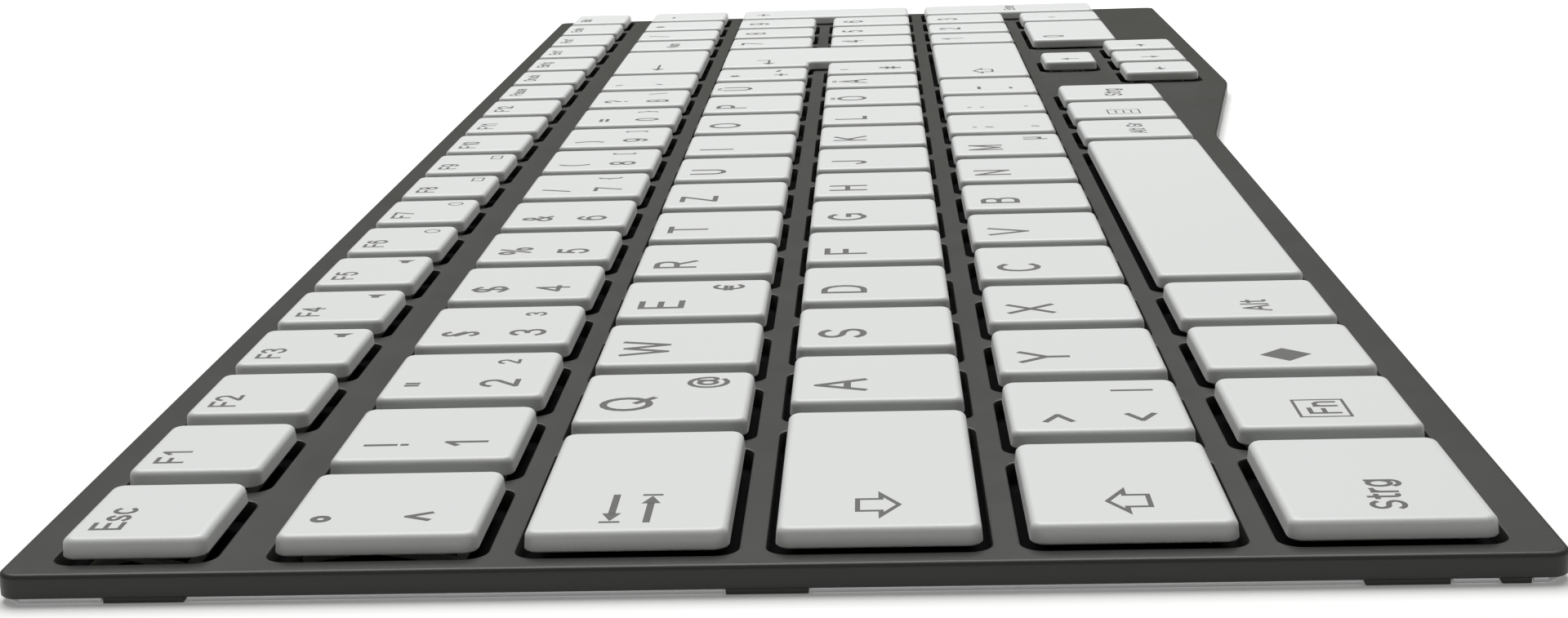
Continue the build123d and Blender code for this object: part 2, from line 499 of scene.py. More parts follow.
# Pen strokes of each letter, with the height of a capital as 1
BOWL = line(0, 0, 0, 1, 0.4, 1) + arc(0.4, 0.73, 0.27, 0.27, 90, -90) + line(0, 0.46)
COMMA = line(0.07, 0.05, 0, -0.14)
CROSSBAR = line(0.17, 0.35, 0.67, 0.35)
CUP = line(0, 1, 0, 0.34) + arc(0.36, 0.34, 0.36, 0.34, 180, 360) + line(0.72, 1)
CURL = arc(0.38, 0.745, 0.32, 0.255, 24, 268) + arc(0.38, 0.245, 0.36, 0.245, 88, -155)
HOOK = line(0, 0.72, 0, 0.26) + arc(0.26, 0.26, 0.26, 0.26, 180, 360)
RING = oval(0.3, 0.36, 0.3, 0.36)
ROOF = line(0, 0, 0.42, 1, 0.84, 0)
ROUND = oval(0.46, 0.5, 0.46, 0.5)
STROKES: dict[str, list[list[Point]]] = {
    "A": [ROOF, CROSSBAR],
    "B": [
        line(0, 0, 0, 1, 0.4, 1) + arc(0.4, 0.77, 0.24, 0.23, 90, -90) + line(0, 0.54),
        line(0.38, 0.54) + arc(0.42, 0.27, 0.27, 0.27, 90, -90) + line(0, 0),
    ],
    "C": [arc(0.44, 0.5, 0.44, 0.5, 46, 314)],
    "D": [line(0, 0, 0, 1, 0.3, 1) + arc(0.32, 0.5, 0.42, 0.5, 90, -90) + line(0, 0)],
    "E": [line(0.66, 1, 0, 1, 0, 0, 0.68, 0), line(0, 0.52, 0.6, 0.52)],
    "F": [line(0.64, 1, 0, 1, 0, 0), line(0, 0.5, 0.54, 0.5)],
    "G": [arc(0.45, 0.5, 0.45, 0.5, 46, 312) + line(0.86, 0.16, 0.86, 0.46, 0.5, 0.46)],
    "H": [line(0, 0, 0, 1), line(0.72, 0, 0.72, 1), line(0, 0.52, 0.72, 0.52)],
    "I": [line(0, 0, 0, 1)],
    "J": [line(0.5, 1, 0.5, 0.27) + arc(0.25, 0.27, 0.25, 0.27, 0, -165)],
    "K": [line(0, 0, 0, 1), line(0.7, 1, 0, 0.36), line(0.25, 0.58, 0.74, 0)],
    "L": [line(0, 1, 0, 0, 0.6, 0)],
    "M": [line(0, 0, 0, 1, 0.42, 0.04, 0.84, 1, 0.84, 0)],
    "N": [line(0, 0, 0, 1, 0.72, 0, 0.72, 1)],
    "O": [ROUND],
    "P": [BOWL],
    "Q": [ROUND, line(0.56, 0.28, 0.92, -0.04)],
    "R": [BOWL, line(0.38, 0.46, 0.74, 0)],
    "S": [CURL],
    "T": [line(0, 1, 0.76, 1), line(0.38, 1, 0.38, 0)],
    "U": [CUP],
    "V": [line(0, 1, 0.42, 0, 0.84, 1)],
    "W": [line(0, 1, 0.29, 0, 0.6, 0.96, 0.91, 0, 1.2, 1)],
    "X": [line(0, 0, 0.8, 1), line(0, 1, 0.8, 0)],
    "Y": [line(0, 1, 0.42, 0.45, 0.84, 1), line(0.42, 0.45, 0.42, 0)],
    "Z": [line(0.02, 1, 0.72, 1, 0, 0, 0.74, 0)],
    "Ä": [ROOF, CROSSBAR, *dots(0.26)],
    "Ö": [ROUND, *dots(0.3)],
    "Ü": [CUP, *dots(0.2)],
    "0": [oval(0.32, 0.5, 0.32, 0.5)],
    "1": [line(0.18, 0.74, 0.46, 1, 0.46, 0)],
    "2": [arc(0.32, 0.7, 0.32, 0.3, 165, -25) + line(0, 0, 0.66, 0)],
    "3": [arc(0.3, 0.76, 0.28, 0.24, 160, -90) + arc(0.3, 0.26, 0.33, 0.26, 88, -160)],
    "4": [line(0.52, 0, 0.52, 1, 0, 0.3, 0.72, 0.3)],
    "5": [line(0.6, 1, 0.13, 1, 0.05, 0.5) + arc(0.31, 0.33, 0.33, 0.33, 125, -155)],
    "6": [oval(0.34, 0.32, 0.34, 0.32), arc(0.36, 0.5, 0.36, 0.5, 48, 180) + line(0, 0.32)],
    "7": [line(0, 1, 0.66, 1, 0.24, 0)],
    "8": [oval(0.33, 0.76, 0.28, 0.24), oval(0.33, 0.26, 0.33, 0.26)],
    "9": [oval(0.34, 0.68, 0.34, 0.32), line(0.68, 0.68) + arc(0.32, 0.5, 0.36, 0.5, 0, -132)],
    "a": [oval(0.26, 0.2, 0.26, 0.2), arc(0.28, 0.5, 0.26, 0.22, 155, 0) + line(0.54, 0.1, 0.6, 0)],
    "c": [arc(0.3, 0.36, 0.3, 0.36, 48, 312)],
    "d": [RING, line(0.6, 0, 0.6, 1)],
    "e": [line(0.02, 0.38, 0.6, 0.38) + arc(0.3, 0.36, 0.3, 0.36, 12, 318)],
    "f": [arc(0.36, 0.8, 0.18, 0.2, 75, 180) + line(0.18, 0), line(0, 0.7, 0.36, 0.7)],
    "g": [RING, line(0.6, 0.72, 0.6, -0.04) + arc(0.31, -0.04, 0.29, 0.23, 0, -160)],
    "i": [line(0, 0, 0, 0.72), line(0, 0.98, 0, 1)],
    "k": [line(0, 0, 0, 1), line(0.5, 0.72, 0, 0.27), line(0.2, 0.45, 0.54, 0)],
    "l": [line(0, 0, 0, 1)],
    "m": [
        line(0, 0, 0, 0.72),
        line(0, 0.5) + arc(0.22, 0.5, 0.22, 0.22, 180, 0) + line(0.44, 0),
        line(0.44, 0.5) + arc(0.66, 0.5, 0.22, 0.22, 180, 0) + line(0.88, 0),
    ],
    "n": [line(0, 0, 0, 0.72), line(0, 0.46) + arc(0.26, 0.46, 0.26, 0.26, 180, 0) + line(0.52, 0)],
    "o": [RING],
    "r": [line(0, 0, 0, 0.72), line(0, 0.38) + arc(0.28, 0.42, 0.28, 0.3, 180, 85)],
    "s": [arc(0.25, 0.54, 0.21, 0.18, 25, 268) + arc(0.25, 0.18, 0.25, 0.18, 88, -155)],
    "t": [line(0.17, 0.92, 0.17, 0.16) + arc(0.33, 0.16, 0.16, 0.16, 180, 285), line(0, 0.7, 0.36, 0.7)],
    "u": [HOOK, line(0.52, 0.72, 0.52, 0)],
    "µ": [HOOK, line(0, 0.4, 0, -0.25), line(0.52, 0.72, 0.52, 0)],
    "ß": [
        line(0, 0, 0, 0.74)
        + arc(0.25, 0.75, 0.25, 0.25, 180, -70)
        + arc(0.3, 0.26, 0.28, 0.26, 90, -115)
    ],
    "°": [oval(0.16, 0.885, 0.165, 0.165)],
    "^": [line(0, 0.41, 0.26, 0.92, 0.52, 0.41)],
    "!": [line(0.26, 1, 0.26, 0.29), line(0.26, 0, 0.26, 0.05)],
    '"': [line(0.2, 1.04, 0.2, 0.79), line(0.43, 1.04, 0.43, 0.79)],
    "'": [line(0, 1, 0, 0.72)],
    "§": [
        arc(0.25, 0.83, 0.2, 0.17, 15, 230) + line(0.45, 0.4),
        arc(0.25, 0.17, 0.2, 0.17, 195, 410) + line(0.05, 0.6),
    ],
    "$": [CURL, line(0.38, 1.04, 0.38, -0.04)],
    "%": [oval(0.17, 0.77, 0.17, 0.23), oval(0.83, 0.23, 0.17, 0.23), line(0.24, 0, 0.76, 1)],
    "&": [
        line(0.78, 0, 0.2, 0.66)
        + arc(0.37, 0.79, 0.19, 0.21, 220, -35)
        + line(0.1, 0.38)
        + arc(0.3, 0.22, 0.3, 0.22, 140, 300)
        + line(0.74, 0.44)
    ],
    "/": [line(0, 0, 0.36, 1)],
    "\\": [line(0, 1, 0.36, 0)],
    "{": [line(0.3, 1.04, 0.18, 0.98, 0.15, 0.62, 0, 0.48, 0.15, 0.34, 0.18, -0.02, 0.3, -0.08)],
    "}": [line(0, 1.04, 0.12, 0.98, 0.15, 0.62, 0.3, 0.48, 0.15, 0.34, 0.12, -0.02, 0, -0.08)],
    "(": [arc(0.5, 0.46, 0.5, 0.76, 132, 228)],
    ")": [arc(-0.33, 0.46, 0.5, 0.76, 48, -48)],
    "[": [line(0.2, 1.04, 0, 1.04, 0, -0.1, 0.2, -0.1)],
    "]": [line(0, 1.04, 0.2, 1.04, 0.2, -0.1, 0, -0.1)],
    "=": [line(0, 0.6, 0.6, 0.6), line(0, 0.32, 0.6, 0.32)],
    "?": [arc(0.28, 0.73, 0.28, 0.27, 170, -45) + line(0.28, 0.4, 0.28, 0.3), line(0.28, 0, 0.28, DOT)],
    "´": [line(0, 0.8, 0.16, 1)],
    "`": [line(0, 1, 0.16, 0.8)],
    "+": [line(0, 0.45, 0.6, 0.45), line(0.3, 0.15, 0.3, 0.75)],
    "*": [line(0.18, 1, 0.18, 0.62), line(0.02, 0.9, 0.34, 0.72), line(0.02, 0.72, 0.34, 0.9)],
    "~": [arc(0.16, 0.45, 0.16, 0.1, 180, 0) + arc(0.48, 0.45, 0.16, 0.1, 180, 360)],
    "#": [
        line(0.18, 0, 0.3, 1),
        line(0.46, 0, 0.58, 1),
        line(0, 0.66, 0.74, 0.66),
        line(0, 0.32, 0.74, 0.32),
    ],
    "<": [line(0.56, 0.76, 0, 0.44, 0.56, 0.12)],
    ">": [line(0, 0.76, 0.56, 0.44, 0, 0.12)],
    "|": [line(0, 1, 0, -0.12)],
    ",": [COMMA],
    ";": [COMMA, line(0.07, 0.6, 0.07, 0.6 + DOT)],
    ".": [line(0, 0, 0, DOT)],
    ":": [line(0, 0, 0, DOT), line(0, 0.6, 0, 0.6 + DOT)],
    "-": [line(0, 0.38, 0.34, 0.38)],
    "_": [line(0, -0.12, 0.7, -0.12)],
    "@": [
        oval(0.58, 0.42, 0.23, 0.26),
        line(0.84, 0.68, 0.82, 0.3)
        + arc(0.99, 0.34, 0.17, 0.18, 190, 350)
        + arc(0.6, 0.4, 0.57, 0.58, 5, 305),
    ],
    "€": [arc(0.48, 0.5, 0.38, 0.5, 50, 310), line(0, 0.6, 0.6, 0.6), line(0, 0.41, 0.56, 0.41)],
}


@dataclass(frozen=True)
class Pen:
    """Writes in even strokes, as the caps are printed."""

    sharpest: float = 1.5
    tip: float = 0.3
    least_lean: float = 0.05
    letter_gap: float = 0.12
    space: float = 0.2
    least_width: float = 0.08
    width_share: float = 0.12
    layer: float = 0.002
    same: float = 0.02

    def lean(self, coming: Vector, going: Vector) -> float:
        """Gives the cosine of half the turn between two ways."""
        half = (coming.normalized() + going.normalized()).length / 2
        return min(max(half, self.least_lean), 1.0)

    def parts(self, points: Sequence[Vector], width: float) -> list[list[Vector]]:
        """Drops points that repeat, and cuts a path where short legs meet too sharply for one stroke.

        Args:
            points: The middle of the path.
            width: The stroke's width.

        Returns:
            The middles of its strokes.
        """
        path = [points[0]]
        for point in points[1:]:
            if (point - path[-1]).length > width * self.same:
                path.append(point)
        parts = [[path[0]]]
        for before, point, after in zip(path, path[1:], path[2:]):
            parts[-1].append(point)
            lean = self.lean(point - before, after - point)
            run = width / 2 * math.sqrt(1 / lean**2 - 1)
            if lean * self.sharpest <= 1 and run > min((point - before).length, (after - point).length):
                parts.append([point])
        parts[-1].append(path[-1])
        return parts

    def turn(self, coming: Vector, going: Vector, width: float) -> list[tuple[Vector, Vector]]:
        """Works out the sides of a stroke at a point of it, twice where a sharp corner gets a flat tip.

        Args:
            coming: The way to the point.
            going: The way on from it.
            width: The stroke's width.

        Returns:
            The right and left sides, from the point.
        """
        before, after = coming.normalized(), going.normalized()
        way = (before + after).normalized()
        lean = self.lean(coming, going)
        reach = Vector((-way.y, way.x)) * width / 2 / lean
        if lean * self.sharpest > 1:
            return [(-reach, reach)]
        bend = math.copysign(1.0, before.cross(after))
        tips = []
        for leg, push in ((before, self.tip * width), (after, -self.tip * width)):
            tips.append(leg * push - Vector((-leg.y, leg.x)) * bend * width / 2)
        return [(tip, reach) if bend > 0 else (-reach, tip) for tip in tips]

    def stroke(self, mesh: BMesh, points: Sequence[Vector], width: float, z: float) -> None:
        """Draws one stroke with square ends, or a ring where it ends at its start.

        Args:
            mesh: The flat mesh to draw in.
            points: The middle of the stroke.
            width: Its width.
            z: Its height, which differs between strokes that cross. An open stroke falls a little
                along its way, because it may cross itself.
        """
        path = list(points)
        ring = (path[0] - path[-1]).length < width * self.same
        fall = 0.0 if ring else self.layer / 2 / len(path)
        if not ring:
            path[0] = path[0] + (path[0] - path[1]).normalized() * width / 2
            path[-1] = path[-1] + (path[-1] - path[-2]).normalized() * width / 2
        behind = [path[-2] if ring else 2 * path[0] - path[1], *path[:-1]]
        ahead = [*path[1:], path[1] if ring else 2 * path[-1] - path[-2]]
        row: list[BMVert] = []
        for index, (before, point, after) in enumerate(zip(behind, path, ahead)):
            for sides in self.turn(point - before, after - point, width):
                ends = [(*(point + side), z - fall * index) for side in sides]
                if row:
                    row = drawn(mesh, row, [mesh.edges.get(row)])
                    row[0].co, row[1].co = ends
                else:
                    row = [mesh.verts.new(end) for end in ends]
                    mesh.edges.new(row)

    def write(self, text: str, height: float) -> BMesh:
        """Writes a word as flat faces.

        Args:
            text: What it says.
            height: The height of its capitals, in millimetres.

        Returns:
            A mesh just below the plane z = 0, with its baseline at y = 0.
        """
        made = bmesh.new()
        width = self.least_width + self.width_share * height
        size = height - width
        start = width / 2
        for sign_name in text:
            strokes = STROKES.get(sign_name, [])
            parts = []
            for points in strokes:
                path = [Vector((start + x * size, width / 2 + y * size)) for x, y in points]
                parts += self.parts(path, width)
            for index, part in enumerate(parts):
                self.stroke(made, part, width, -index * self.layer)
            reach = max((x for points in strokes for x, _ in points), default=self.space)
            start += reach * size + width + self.letter_gap * size
        bmesh.ops.remove_doubles(made, verts=made.verts, dist=SAME_PLACE)
        return made


def polygon(corners: Sequence[Point], border: float = 0.0) -> BMesh:
    """Draws one flat figure.

    Args:
        corners: Its corners, anticlockwise.
        border: The width of its outline, or 0 for a filled figure.

    Returns:
        A mesh on the plane z = 0.
    """
    made = bmesh.new()
    face = made.faces.new([made.verts.new((x, y, 0.0)) for x, y in corners])
    if border:
        face.normal_update()
        bmesh.ops.inset_region(
            made, faces=[face], thickness=border, use_even_offset=True, use_boundary=True
        )
        bmesh.ops.delete(made, geom=[face], context="FACES")
    return made


def turned(corners: Sequence[Point], degrees: float) -> list[Point]:
    """Turns a figure's corners about the origin."""
    spin = Matrix.Rotation(math.radians(degrees), 2)
    return [tuple(spin @ Vector(corner)) for corner in corners]


def opposite(corners: Sequence[Point]) -> list[Point]:
    """Lists the corners of a figure after half a turn about the origin."""
    return [(-x, -y) for x, y in corners]


def pointer(tip: float, neck: float, end: float) -> list[Point]:
    """Lists the corners of a filled arrow to the left: where its tip, its head and its shaft end."""
    head = [(tip, 0.0), (neck, -POINTER_HEAD), (neck, -POINTER_SHAFT), (end, -POINTER_SHAFT)]
    return head + [(end, POINTER_SHAFT), (neck, POINTER_SHAFT), (neck, POINTER_HEAD)]


POINTER_HEAD, POINTER_SHAFT = 1.1, 0.2
LAMP_SIDES = 10
LAMP_TURNS = [math.tau * side / LAMP_SIDES for side in range(LAMP_SIDES)]
BROAD_ARROW = [(-1.6, -1.75), (1.6, -1.75), (1.6, 0.0), (3.3, 0.0), (0.0, 1.75), (-3.3, 0.0), (-1.6, 0.0)]
TAB_ARROW = [
    rectangle(-3.4, 0.6, -3.02, 2.15),
    [(-2.96, 1.375), (-1.15, 0.66), (-1.15, 2.09)],
    rectangle(-1.2, 1.1, 3.4, 1.65),
]


class Sign(Enum):
    """Drawn signs: for each figure its outline width, or 0 if filled, and its corners in millimetres."""

    TAB = tuple((0.0, form) for form in TAB_ARROW + list(map(opposite, TAB_ARROW)))
    SHIFT = ((0.38, BROAD_ARROW),)
    LOCK = ((0.38, opposite(BROAD_ARROW)),)
    FRAME = ((0.26, rectangle(-2.7, -2.2, 2.7, 2.2)),)
    DIAMOND = ((0.0, [(0.0, -2.3), (2.3, 0.0), (0.0, 2.3), (-2.3, 0.0)]),)
    ERASE = ((0.0, pointer(-3.4, -1.6, 3.4)),)
    RETURN = ((0.0, pointer(-2.9, -1.2, 2.5)), (0.0, rectangle(2.1, 0.1, 2.5, 2.2)))
    MENU = (
        (0.22, rectangle(-2.0, -2.4, 2.0, 2.4)),
        (0.0, rectangle(-1.2, 1.0, 1.2, 1.25)),
        (0.0, rectangle(-1.2, -0.12, 1.2, 0.12)),
        (0.0, rectangle(-1.2, -1.25, 1.2, -1.0)),
    )
    UP = ((0.0, [(-0.2, -1.5), (0.2, -1.5), (0.2, 0.2), (1.0, 0.2), (0.0, 1.6), (-1.0, 0.2), (-0.2, 0.2)]),)
    SPEAKER = ((0.0, [(-1.0, -0.4), (-0.4, -0.4), (0.4, -1.0), (0.4, 1.0), (-0.4, 0.4), (-1.0, 0.4)]),)
    LAMP = ((0.22, [(math.cos(turn), math.sin(turn)) for turn in LAMP_TURNS]),)
    SCREEN = ((0.22, rectangle(-1.2, -0.8, 1.2, 0.8)),)

    def figures(self, degrees: float = 0.0) -> list[BMesh]:
        """Draws the sign's flat figures, turned about its middle."""
        return [polygon(turned(corners, degrees), border) for border, corners in self.value]


@dataclass(frozen=True)
class Mark:
    """One mark on a cap: a word or a sign, its spot and its turn."""

    what: str | Sign
    spot: Spot
    degrees: float = 0.0

    def figures(self, pen: Pen) -> list[BMesh]:
        """Gives the mark's flat meshes."""
        if isinstance(self.what, Sign):
            return self.what.figures(self.degrees)
        return [pen.write(self.what, self.spot.height)]

    def shift(self, figures: Sequence[BMesh], cap: Rect) -> Vector:
        """Works out the move that puts the figures on their spot.

        Args:
            figures: The mark's flat meshes.
            cap: The plan of the cap's foot.

        Returns:
            The move in plan.
        """
        spot = self.spot
        xs = [vert.co.x for mesh in figures for vert in mesh.verts]
        ys = [vert.co.y for mesh in figures for vert in mesh.verts]
        word = isinstance(self.what, str)
        low, high = (0.0, spot.height) if word else (min(ys), max(ys))
        x = cap.left + spot.inward - (0.0 if word else min(xs))
        if spot.across == "right":
            x = cap.right - spot.inward - (min(xs) + max(xs)) / 2
        y = cap.centre.y + spot.forward - (low + high) / 2
        if spot.along == "back":
            y = cap.back - spot.forward - high
        elif spot.along == "front":
            y = cap.front + spot.forward - low
        return Vector((x, y))


def letter(text: str, third: str = "") -> list[Mark]:
    """A letter key's marks: its letter, and the sign of its third level if it has one."""
    return [Mark(text, Spot.LETTER)] + [Mark(extra, Spot.THIRD) for extra in third]


def pair(lower: str, upper: str, third: str = "") -> list[Mark]:
    """A key with two levels, one above the other, and the sign of a third if it has one."""
    small = Spot.SMALL_DIGIT if third.isdigit() else Spot.SMALL
    return [Mark(lower, Spot.LOWER), Mark(upper, Spot.UPPER)] + [Mark(extra, small) for extra in third]


def word(text: str, spot: Spot = Spot.WORD) -> list[Mark]:
    """A key that carries a word."""
    return [Mark(text, spot)]


def sign(what: Sign, degrees: float = 0.0) -> list[Mark]:
    """A key that carries a drawn sign."""
    return [Mark(what, Spot.ARROW, degrees)]


@dataclass
class Legends:
    """What is printed on every cap."""

    moving: dict[str, list[Mark]] = field(default_factory=dict)
    function: list[list[Mark]] = field(default_factory=list)
    number: list[list[Mark]] = field(default_factory=list)
    pad: list[list[Mark]] = field(default_factory=list)
    short_name: int = 3
    first_icon: int = 3

    def __post_init__(self) -> None:
        """Fills the lists for the layout that the caps follow."""
        printed = {name: letter(name.upper()) for name in "wrtzuiopasdfghjklyxcvbn"}
        printed |= {
            "q": letter("Q", "@"),
            "e": letter("E", "€"),
            "m": letter("M", "µ"),
            "u_umlaut": letter("Ü"),
            "o_umlaut": letter("Ö"),
            "a_umlaut": letter("Ä"),
            "plus": pair("+", "*", "~"),
            "hash": pair("#", "'"),
            "less_than": [Mark("<", Spot.FRONT_ANGLE), Mark(">", Spot.BACK_ANGLE), Mark("|", Spot.BAR)],
            "comma": pair(",", ";"),
            "period": pair(".", ":"),
            "minus": pair("-", "_"),
            "tab": sign(Sign.TAB),
            "caps_lock": sign(Sign.LOCK),
            "left_shift": sign(Sign.SHIFT),
            "right_shift": sign(Sign.SHIFT),
            "enter": sign(Sign.RETURN),
            "left_ctrl": word("Strg"),
            "right_ctrl": word("Strg"),
            "fn": [Mark(Sign.FRAME, Spot.FRAMED), Mark("Fn", Spot.IN_FRAME)],
            "system": sign(Sign.DIAMOND),
            "alt": word("Alt"),
            "alt_gr": word("Alt Gr", Spot.LONG_WORD),
            "menu": sign(Sign.MENU),
            "space": [],
        }
        for name, degrees in (("up", 0), ("left", 90), ("down", 180), ("right", 270)):
            printed[f"arrow_{name}"] = sign(Sign.UP, degrees)
        self.moving = {f"key_{name}": marks for name, marks in printed.items()}
        names = ["Esc"] + [f"F{count}" for count in range(1, 13)]
        names += ["Pause", "Druck", "Einfg", "Entf", "Pos1", "Ende", "Bild"]
        for name in names:
            spot = Spot.FUNCTION if len(name) <= self.short_name else Spot.LONG_FUNCTION
            self.function.append(word(name, spot))
        icons = [Sign.SPEAKER] * 3 + [Sign.LAMP] * 2 + [Sign.SCREEN] * 2
        for marks, icon in zip(self.function[self.first_icon :], icons):
            marks.append(Mark(icon, Spot.ICON))
        levels = ["^°", "1!", '2"2', "3§3", "4$", "5%", "6&", "7/{", "8([", "9)]", "0=}", "ß?\\", "´`"]
        self.number = [pair(*level) for level in levels] + [sign(Sign.ERASE)]
        singles = ["Num", *"/*789456123-+", "Enter", *"0,"]
        self.pad = [word(text, Spot.DIGIT if len(text) == 1 else Spot.PAD_WORD) for text in singles]


# Keys


@dataclass
class Keycap:
    """The form of a cap: drafted sides, a rounded rim and a hollow below."""

    corner: float = 1.2
    steps: int = 6
    rim: float = 0.6
    rim_steps: int = 6
    flat_margin: float = 0.08
    draft: float = 4.0
    side_trim: float = 0.18
    wall: float = 1.0
    roof: float = 0.75
    foot: float = 0.12
    hang: float = 0.1
    ink_room: float = 0.016
    ink_proud: float = 0.012
    ink_sunk: float = 0.06

    def build(self, shell: Shell, corners: Sequence[Point], base: float, top: float) -> None:
        """Draws one cap.

        Args:
            shell: The mesh to draw in.
            corners: The corners of the cap's foot, anticlockwise.
            base: The height of its foot.
            top: The height that nothing on it passes.
        """
        back = max(y for _, y in corners)
        foot = [(x, y - self.side_trim if y == back else y + self.side_trim) for x, y in corners]
        loop = Loop(foot, [self.corner] * len(foot), self.steps)
        crown = top - self.ink_room
        slope = math.tan(math.radians(self.draft))
        low = base - self.hang
        ring = shell.start(loop, -self.wall, top - self.roof)
        shell.close(ring)
        ring = shell.draw(ring, loop, -self.wall, low)
        ring = shell.draw(ring, loop, -self.foot, low)
        ring = shell.draw(ring, loop, 0.0, low + self.foot)
        lean = slope * (crown - self.rim - low)
        for inset, drop in reversed(quarter_round(self.rim, self.rim_steps)):
            ring = shell.draw(ring, loop, -lean - inset, crown - drop)
        ring = shell.draw(ring, loop, -lean - self.rim - self.flat_margin, crown)
        shell.close(ring)

    def print_marks(self, shell: Shell, cap: Rect, marks: Sequence[Mark], pen: Pen, top: float) -> None:
        """Prints a cap's marks as a thin raised layer of ink.

        Args:
            shell: The mesh that holds the cap.
            cap: The plan of the cap's foot.
            marks: What is printed.
            pen: What writes them.
            top: The height that nothing on the cap passes.
        """
        level = top - self.ink_room + self.ink_proud
        for mark in marks:
            figures = mark.figures(pen)
            move = mark.shift(figures, cap)
            for figure in figures:
                bmesh.ops.translate(figure, verts=figure.verts, vec=(move.x, move.y, level))
                thicken(figure, -self.ink_proud - self.ink_sunk)
                shell.take(figure, SECOND_SKIN)


@dataclass
class Spring:
    """What lifts a cap: a rubber dome between two crossed lever frames."""

    radius: float = 2.5
    sides: int = 10
    thickness: float = 0.45
    bar: float = 0.7
    play: float = 0.3
    widest: float = 11.0
    side_room: float = 3.2
    end_room: float = 3.0
    longest: float = 12.5
    floor: float = 0.6
    height: float = 2.5
    lean_room: float = 0.1
    skirt_share: float = 0.96
    skirt_rise: float = 0.25
    neck_share: float = 0.62
    neck_drop: float = 0.45
    crown_share: float = 0.5

    def dome(self, shell: Shell, x: float, y: float) -> None:
        """Spins the profile of a dome about its middle."""
        top = self.floor + self.height
        profile = [
            (self.radius, self.floor),
            (self.radius * self.skirt_share, self.floor + self.skirt_rise),
            (self.radius * self.neck_share, top - self.neck_drop),
            (self.radius * self.crown_share, top),
            (0.0, top),
        ]
        part = bmesh.new()
        chain = [part.verts.new((x + reach, y, z)) for reach, z in profile]
        edges = [part.edges.new(ends) for ends in zip(chain, chain[1:])]
        bmesh.ops.spin(
            part,
            geom=chain + edges,
            cent=(x, y, 0.0),
            axis=(0.0, 0.0, 1.0),
            angle=math.tau,
            steps=self.sides,
            use_merge=True,
        )
        bmesh.ops.remove_doubles(part, verts=part.verts, dist=SAME_PLACE)
        bmesh.ops.holes_fill(part, edges=part.edges, sides=0)
        shell.take(part, MAIN_SKIN)

    def lever(self, shell: Shell, x: float, y: float, width: float, length: float, up: float) -> None:
        """Adds one lever frame that leans towards the back or, with up = -1, towards the front."""
        fork = polygon(rectangle(-width / 2, -length / 2, width / 2, length / 2), self.bar)
        thicken(fork, self.thickness)
        bmesh.ops.translate(fork, verts=fork.verts, vec=(0.0, 0.0, -self.thickness / 2))
        rise = self.height - self.thickness - 2 * self.lean_room
        lean = Matrix.Rotation(up * math.asin(rise / length), 4, "X")
        place = Matrix.Translation((x, y, self.floor + self.height / 2))
        bmesh.ops.transform(fork, matrix=place @ lean, verts=fork.verts)
        shell.take(fork, SECOND_SKIN)

    def build(self, shell: Shell, cap: Rect, ends: Sequence[float] = (0.0,)) -> None:
        """Sets a dome under the middle of a cap and a pair of levers at each of its seats.

        Args:
            shell: The mesh to add to.
            cap: The plan of the cap's foot, or of the arm that the spring carries.
            ends: The seats of the levers, from the cap's middle.
        """
        x, y = cap.centre
        self.dome(shell, x, y)
        width = min(self.widest, cap.width - self.side_room)
        length = min(self.longest, cap.depth - self.end_room)
        for seat in ends:
            self.lever(shell, x + seat, y, width, length, 1.0)
            self.lever(shell, x + seat, y, width - 2 * (self.bar + self.play), length, -1.0)


